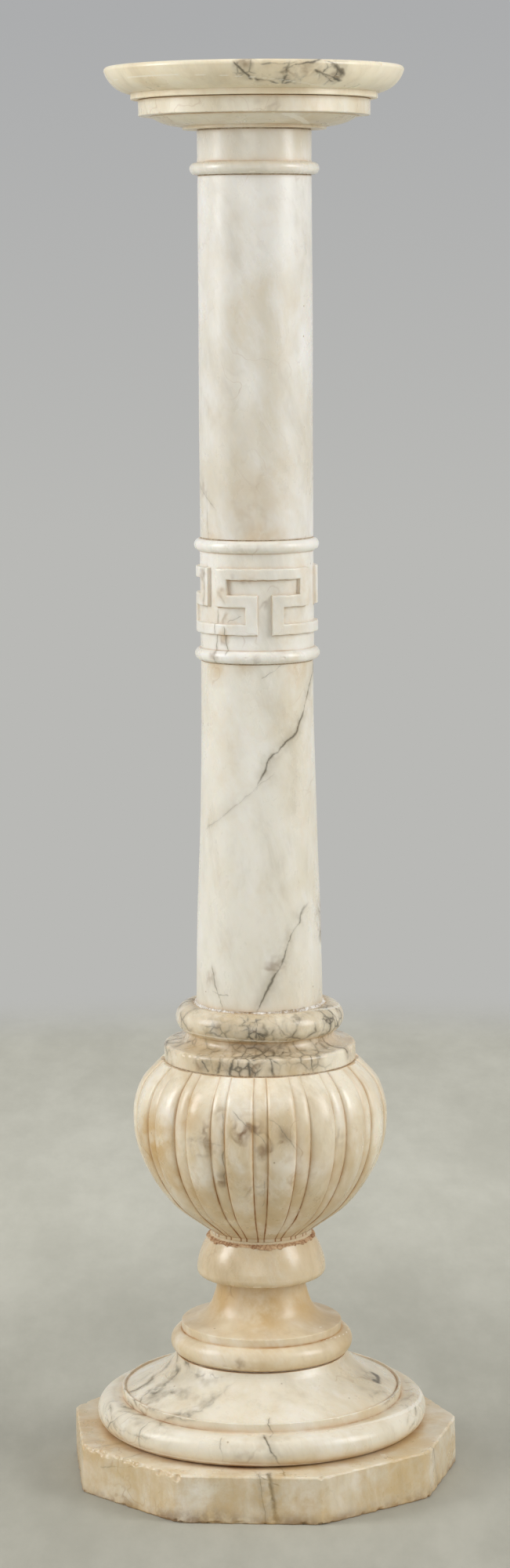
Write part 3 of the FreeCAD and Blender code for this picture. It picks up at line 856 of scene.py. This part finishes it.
    fine = g.noise(place, 850, 3, 0.6)
    worked = g.noise(place, 130, 3, 0.55)
    relief = g.math("SUBTRACT", g.times(worked, 0.8), g.math("ADD", pit, g.times(line, 0.25)))
    normal = g.bump(fine, 0.00006, 0.5, g.bump(relief, 0.00022, 0.5))
    rough = g.ramp(mottle, 0.3, 0.7, gloss - 0.05, gloss + 0.07)
    rough = g.math("ADD", rough, g.times(g.either(hollow_dirt_and_shade, pit), 0.3))
    return g.finish(
        Base_Color=colour, Roughness=rough, Normal=normal, IOR=1.52, Subsurface_Weight=0.22,
        Subsurface_Radius=(1, 0.72, 0.45), Subsurface_Scale=0.004)


def crumbly(name, dark, pale, scale, clean_above=None):
    """Cement or plaster: a grainy mix of two shades, rubbed clean above a height if one is given."""
    g = Graph(bpy.data.materials.new(name))
    grain = g.noise(g.place, scale, 6, 0.7)
    patches = g.noise(g.place, scale * 0.15, 3, 0.6)
    mixed = g.math("ADD", g.times(grain, 0.6), g.times(patches, 0.4))
    colour = g.mix(g.ramp(mixed, 0.38, 0.62), dark, pale)
    if clean_above:
        height = g.node("SeparateXYZ", {"Vector": g.place}).outputs["Z"]
        colour = g.mix(g.ramp(height, clean_above, clean_above + 0.5 * MM), colour, (216, 198, 166))
    return g.finish(Base_Color=colour, Roughness=0.9, Normal=g.bump(grain, 0.0006))


def worked_metal(name, base, tarnish, metallic, rust=0.5):
    """Iron or brass with tarnish in patches and a fine turned grain."""
    g = Graph(bpy.data.materials.new(name))
    patches = g.ramp(g.noise(g.place, 160, 6, 0.7), 0.62 - rust * 0.3, 0.72)
    stretched = g.vector("MULTIPLY", g.place, (200, 200, 2600))
    grain = g.noise(stretched, 1, 2, 0.5)
    colour = g.mix(patches, g.mix(g.ramp(grain, 0.3, 0.7, 0, 0.4), base, tarnish), tarnish)
    return g.finish(
        Base_Color=colour, Metallic=g.ramp(patches, 0, 1, metallic, metallic * 0.2),
        Roughness=g.ramp(patches, 0, 1, 0.32, 0.85), Normal=g.bump(g.math("ADD", grain, patches), 0.0001),
    )


def hide():
    """Pressed leather, pebbled and scuffed."""
    g = Graph(bpy.data.materials.new("leather"))
    pebble = g.node("TexVoronoi", {"Vector": g.place, "Scale": 900}).outputs["Distance"]
    scuffs = g.noise(g.place, 90, 5, 0.7)
    colour = g.mix(g.ramp(scuffs, 0.4, 0.7), (74, 50, 32), (122, 90, 60))
    rough = g.ramp(scuffs, 0.3, 0.7, 0.5, 0.8)
    return g.finish(Base_Color=colour, Roughness=rough, Normal=g.bump(pebble, 0.00015))


# ---- the font

def set_in(piece, node, material, body="pedestal"):
    """Let a fine piece ride on its body, stand for its CAD node and take its finish."""
    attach(piece, body)
    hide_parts(node)
    piece.data.materials.append(material)


def stone(piece, node, slot, body="pedestal", **look):
    set_in(piece, node, alabaster(slot, piece, **look), body)


stone(plinth_base(), "plinth_base", "alabaster_plinth", seed=0.3, light=(232, 224, 205),
    cloud=(213, 199, 170), brown=0.33, wild=0.08, deep=0.7, stain=(0.0395, 0.003, 0.65),
    veins=[((3, 0), (3, 20), (1, 40), 2.4, 16, 1), ((-1, 0), (0, 20), (-3, 40), 0.5, 14, 0.6),
           ((5, 30), (2, 36), (-1, 40), 0.8, 6, 0.6), ((7, 42), (4, 52), (1, 64), 0.9, 9, 0.9),
           ((2, 64), (3, 68), (2, 72), 0.6, 4, 0.6), ((-72, 44), (-66, 55), (-62, 64), 0.7, 6, 0.7),
           ((-52, 42), (-47, 52), (-52, 64), 0.6, 7, 0.5), ((-16, 44), (-14, 54), (-17, 64), 0.5, 6, 0.4),
           ((66, 6), (64, 20), (60, 38), 1.2, 9, 0.8), ((-58, 28), (-50, 30), (-44, 38), 0.6, 6, 0.4),
           ((86, 80), (81, 79), (75, 78), 1.2, 4, 0.9)],
    bundles=[((-84, 98), (-58, 80), (-26, 70), 6.5, 22, 1), ((-80, 62), (-66, 52), (-58, 44), 7, 18, 0.7),
             ((84, 92), (72, 76), (60, 68), 6, 14, 0.5), ((76, 62), (68, 54), (62, 46), 7, 16, 0.7),
             ((170, 90), (190, 75), (215, 70), 7, 24, 0.8)],
    webs=[((150, 50), 70, 26, 0.4)],
    blots=[((-2, 20), 20, 0.5), ((-2, 45), 20, 0.4)],
    ochre=[((-62, 39), 40, 0.7), ((-88, 39), 36, 0.5)],
    pale=[((-22, 22), 24, 0.6), ((13, 20), 20, 0.6), ((30, 30), 14, 0.4), ((60, 24), 22, 0.6),
          ((-62, 26), 22, 0.5), ((-44, 12), 14, 0.4), ((150, 20), 40, 0.5)])
# The foot's ring of ochre round the waist, under the bell, is painted shade.
stone(spool_foot(), "spool_foot", "alabaster_foot", seed=1.3, light=(230, 215, 186), cloud=(202, 178, 138),
    brown=0.45, dirt=1.5, gloss=0.34,
    blots=[((-14, 12), 8, 0.5), ((-24, 6), 6, 0.5), ((-32, 10), 6, 0.4)],
    ochre=[((turn, 76), 36, 0.85) for turn in range(0, 360, 60)])
stone(bell_knop(), "bell_knop", "alabaster_bell", seed=2.1, light=(216, 198, 166), cloud=(196, 168, 126),
    brown=0.5, gloss=0.24)
stone(fluted_bulb(), "fluted_bulb", "alabaster_bulb", seed=3.4, light=(239, 230, 209), cloud=(208, 187, 150),
    brown=0.5, wild=0.04, deep=0.95, dirt=1.35, gloss=0.28,
    veins=[((-10, 86), (-5, 75), (3, 70), 0.5, 5, 0.45), ((4, 80), (10, 72), (16, 63), 0.6, 6, 0.5),
           ((-18, 82), (-17, 62), (-18, 40), 0.5, 6, 0.55), ((-31, 72), (-25, 66), (-18, 70), 0.4, 5, 0.4),
           ((3, 44), (1, 36), (3, 28), 0.4, 5, 0.4)],
    webs=[((150, 50), 60, 26, 0.3)],
    blots=[((11, 71), 20, 1.4), ((-6, 73), 18, 1.2), ((-27, 67), 17, 1), ((-18, 47), 17, 1.1),
           ((0, 36), 13, 0.7), ((-8, 40), 11, 0.6), ((3, 62), 12, 0.8), ((-20, 80), 12, 0.6),
           ((14, 58), 9, 0.5), ((40, 66), 12, 0.4), ((170, 60), 50, 0.6), ((110, 50), 30, 0.5)],
    ochre=[((-58, 60), 40, 1), ((-46, 66), 26, 0.8), ((-44, 40), 26, 0.7), ((-36, 30), 28, 0.6),
           ((48, 22), 26, 0.35), ((-38, 80), 24, 0.7), ((130, 40), 40, 0.5)],
    pale=[((-8, 86), 17, 0.6), ((14, 54), 22, 0.6), ((-27, 45), 20, 0.6), ((-7, 27), 18, 0.5),
          ((27, 50), 22, 0.5), ((-46, 82), 16, 0.5), ((6, 87), 14, 0.4), ((36, 80), 20, 0.4),
          ((200, 50), 40, 0.5)])
stone(collar(), "collar", "alabaster_collar", seed=4.2, light=(238, 229, 208), cloud=(202, 184, 152),
    brown=0.3, wild=0.2, deep=0.7, gloss=0.26,
    veins=[((0, 95), (-2, 80), (0, 66), 0.9, 6, 0.8), ((66, 10), (58, 50), (52, 95), 1.1, 8, 0.9),
           ((72, 60), (66, 80), (60, 98), 1.4, 9, 0.9), ((-25, 2), (-25, 12), (-24, 24), 1.5, 11, 1),
           ((-17, 2), (-17, 12), (-16, 24), 1.7, 12, 1), ((-7, 2), (-6, 12), (-8, 24), 1.3, 11, 1),
           ((6, 2), (7, 14), (4, 34), 1.5, 11, 1), ((30, 0), (32, 15), (30, 30), 0.7, 6, 0.7),
           ((-37, 22), (-34, 14), (-33, 4), 0.8, 7, 0.9), ((-5, 30), (4, 36), (11, 50), 1.6, 9, 1)],
    webs=[((62, 78), 26, 9, 1), ((3, 42), 30, 11, 1), ((-6, 80), 18, 9, 0.9), ((-30, 42), 30, 12, 0.6),
          ((34, 45), 34, 14, 0.8), ((-12, 13), 26, 9, 0.8), ((150, 50), 60, 12, 0.9),
          ((-90, 50), 50, 13, 0.7)],
    blots=[((-28, 80), 9, 0.4), ((-2, 40), 26, 0.8), ((-21, 12), 12, 1.2), ((-5, 14), 12, 1.1),
           ((6, 12), 9, 1), ((-38, 14), 10, 0.6), ((24, 16), 12, 0.5), ((66, 20), 14, 0.7)],
    ochre=[((-60, 30), 36, 0.4), ((-10, 14), 30, 0.35), ((24, 22), 30, 0.35), ((80, 30), 30, 0.3)])
stone(lower_shaft(), "lower_shaft", "alabaster_lower_shaft", seed=5.8, light=(233, 228, 215),
    cloud=(219, 209, 187), brown=0.22,
    veins=[((90, 103), (50, 86), (4, 65.5), 0.75, 8, 0.9), ((4, 66), (-22, 60), (-62, 52), 0.35, 10, 0.3),
           ((40, 25), (20, 16), (-6, -2), 0.8, 8, 0.85), ((-52, 13), (-42, 6), (-38, 0), 0.5, 5, 0.6),
           ((-46, 7), (-38, 5), (-30, 6), 0.4, 4, 0.4), ((24, 100), (16, 98.5), (2, 96), 0.5, 4, 0.5)],
    webs=[((84, 23), 18, 12, 0.5)],
    blots=[((14, 12), 14, 0.6), ((86, 24), 26, 0.7), ((-50, 9), 10, 0.4), ((-2, 2), 18, 0.3)],
    ochre=[((-45, 101), 22, 0.5), ((-8, 100), 12, 0.35), ((46, 101), 26, 0.5), ((80, 98), 16, 0.4)])
stone(key_band(), "key_band", "alabaster_band", seed=6.4, light=(240, 237, 229), cloud=(228, 222, 208),
    brown=0.38, dirt=0.75, deep=0.25,
    veins=[((-47, 2), (-44, 20), (-46, 45), 0.4, 3, 0.6), ((-33, 12), (-32, 20), (-34, 30), 0.4, 3, 0.6),
           ((-62, 42), (-60, 60), (-62, 78), 0.4, 4, 0.5), ((-28, 34), (-24, 36), (-16, 40), 0.4, 3, 0.4)],
    blots=[((-42, 6), 9, 0.8), ((-34, 20), 7, 0.4), ((-35, 62), 7, 0.7), ((-22, 73), 7, 0.6),
           ((-14, 67), 7, 0.6), ((-8, 68), 6, 0.5), ((-34, 36), 8, 0.6), ((-36, 52), 8, 0.4),
           ((-64, 70), 9, 0.7), ((-62, 50), 8, 0.6), ((6, 50), 7, 0.4), ((26, 40), 6, 0.4), ((-2, 3), 8, 0.3),
           ((150, 50), 40, 0.5)],
    ochre=[((-34, 20), 8, 0.5), ((-34, 55), 10, 0.4), ((-10, 70), 10, 0.35), ((-66, 60), 12, 0.4)])
stone(upper_shaft(), "upper_shaft", "alabaster_upper_shaft", seed=7.7, light=(234, 231, 224),
    cloud=(218, 210, 193), brown=0.16,
    veins=[((-84, 20), (-70, 13), (-50, 14), 0.4, 5, 0.5), ((-66, 13), (-60, 6), (-64, 0), 0.4, 4, 0.35)],
    blots=[((-70, 14), 12, 0.4), ((-8, 12), 50, 0.12), ((-40, 40), 40, 0.1)],
    ochre=[((-2, 0), 20, 0.5), ((16, 0), 16, 0.35), ((-50, 0), 16, 0.35), ((-4, 10), 40, 0.2)])
stone(neck_ring(), "neck_ring", "alabaster_neck", seed=8.3, light=(232, 228, 218), cloud=(222, 215, 198),
    brown=0.12, dirt=0.8, deep=0.3, gloss=0.24)
stone(capital(), "capital", "alabaster_capital", seed=9.9, light=(231, 223, 203), cloud=(216, 201, 172),
    brown=0.25, dirt=0.8, deep=0.3,
    blots=[((2, 75), 10, 0.4), ((9, 62), 9, 0.35)])
stone(top_basin(), "top_basin", "alabaster_basin", "basin", seed=10.6, light=(241, 231, 206),
    cloud=(226, 210, 177), brown=0.2, dirt=0.8, deep=0.3,
    veins=[((-5, 98), (-4, 66), (1, 48), 0.9, 7, 0.9), ((1, 48), (5, 36), (9, 36), 0.8, 6, 0.8),
           ((2, 80), (9, 86), (16, 85), 0.6, 6, 0.7), ((15, 85), (12, 55), (14, 42), 1.5, 9, 1),
           ((13, 45), (19, 85), (24, 62), 0.9, 8, 0.9), ((23, 68), (30, 52), (35, 42), 1.3, 9, 1),
           ((27, 95), (32, 75), (36, 50), 0.9, 7, 0.9)],
    webs=[((14, 50), 14, 11, 1), ((30, 55), 13, 9, 1), ((-3, 75), 12, 10, 0.5), ((160, 70), 40, 14, 0.5)],
    blots=[((-4, 85), 9, 0.7), ((13, 50), 10, 1), ((33, 48), 10, 1), ((21, 75), 11, 0.6)])

bulb_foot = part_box("bulb_cement")[0].z
set_in(cement(), "bulb_cement",
       crumbly("cement", (140, 96, 62), (216, 184, 146), 420, clean_above=bulb_foot + 1.7 * MM))
set_in(plaster(), "shaft_plaster", crumbly("plaster", (168, 146, 116), (240, 238, 232), 500))

CARRIED = {
    "plaster": crumbly("bed_plaster", (150, 126, 94), (212, 202, 182), 1100),
    "iron": worked_metal("iron", (92, 88, 84), (104, 62, 38), 0.9, 0.7),
    "brass": worked_metal("brass", (196, 160, 92), (112, 92, 56), 1, 0.3),
    "leather": hide(),
}
for part in frame["record"]["subparts"]:
    carried = frame["nodes"][part["node"]]
    if part["material_slot"] in CARRIED and not carried.hide_render:
        carried.data.materials.clear()
        carried.data.materials.append(CARRIED[part["material_slot"]])


# ---- studio

CAMERA_DISTANCE = 2.909
CAMERA_HEIGHT = 0.948
CAMERA_ASIDE = -0.0025
LOOK_DOWN = 7.8
ROLL = -0.36
LENS = 86.4
FLOOR_RADIUS = 2


def round_floor():
    """A round pale floor under the font."""
    count = 180
    rim = [(FLOOR_RADIUS * math.sin(math.tau * k / count), -FLOOR_RADIUS * math.cos(math.tau * k / count), 0)
           for k in range(count)]
    return mesh_object("studio_floor", rim, [list(range(count))])


def floor_finish():
    """Smooth painted concrete, faintly blotched, darker near the font as painted shadow, fading out at its
    rim.
    """
    g = Graph(bpy.data.materials.new("pale_floor"))
    blotched = g.ramp(g.noise(g.vector("MULTIPLY", g.place, (1, 0.35, 1)), 9, 6, 0.7), 0.3, 0.75)
    floor_in_painted_shadow = g.mix(blotched, (163, 161, 148), (179, 177, 164))
    far_floor = g.mix(blotched, (191, 189, 175), (207, 205, 191))
    distance = g.vector("LENGTH", g.place, (0, 0, 0))
    # Painted shadow: the floor is darker near the font.
    colour = g.mix(g.ramp(distance, 0.26, 0.95), floor_in_painted_shadow, far_floor)
    there = g.ramp(distance, 0.82 * FLOOR_RADIUS, FLOOR_RADIUS, 1, 0)
    grain = g.bump(g.noise(g.place, 60, 5), 0.001, 0.4)
    return g.finish(Base_Color=colour, Roughness=0.75, Normal=grain, Alpha=there)


def studio_air():
    """Even grey air all round, a little darker above."""
    g = Graph(bpy.data.worlds.new("studio_air"), "Background", "Generated")
    height = g.node("SeparateXYZ", {"Vector": g.place}).outputs["Z"]
    climb = g.node("MapRange", {"Value": height, "From Min": -0.07, "From Max": 0.065}).outputs["Result"]
    shade = g.node("ValToRGB", {"Fac": climb})
    shade.color_ramp.elements[0].color = rgb(185, 185, 182)
    shade.color_ramp.elements[1].color = rgb(172, 173, 174)
    return g.finish(Color=shade.outputs["Color"])


def soft_light(name, angle, distance, height, size, energy, aim=0.6):
    """A rectangular soft box at an angle from the front, aimed at the axis."""
    data = bpy.data.lights.new(name, "AREA")
    data.shape = "RECTANGLE"
    data.size, data.size_y = size
    data.energy = energy
    lamp = bpy.data.objects.new(name, data)
    turn = math.radians(angle)
    lamp.location = (distance * math.sin(turn), -distance * math.cos(turn), height)
    lamp.rotation_euler = (Vector((0, 0, aim)) - lamp.location).to_track_quat("-Z", "Y").to_euler()
    bpy.context.scene.collection.objects.link(lamp)


studio = round_floor()
studio.data.materials.append(floor_finish())

soft_light("left_box", -80, 3.2, 2.1, (1.3, 2.2), 70, aim=0.7)
soft_light("right_box", 70, 3.2, 2.1, (1.3, 2.2), 67, aim=0.7)
soft_light("top_fill", 0, 0, 3.6, (2.4, 2.4), 22)
soft_light("front_fill", -12, 4.4, 1, (2.6, 1.6), 24)

bpy.context.scene.world = studio_air()
bpy.context.scene.view_settings.view_transform = "Standard"

camera_data = bpy.data.cameras.new("camera")
camera_data.lens = LENS
camera = bpy.data.objects.new("camera", camera_data)
camera.location = (CAMERA_ASIDE, -CAMERA_DISTANCE, CAMERA_HEIGHT)
tilt = Matrix.Rotation(math.radians(90 - LOOK_DOWN), 3, "X")
camera.rotation_euler = (tilt @ Matrix.Rotation(math.radians(ROLL), 3, "Z")).to_euler()
bpy.context.scene.collection.objects.link(camera)
bpy.context.scene.camera = camera
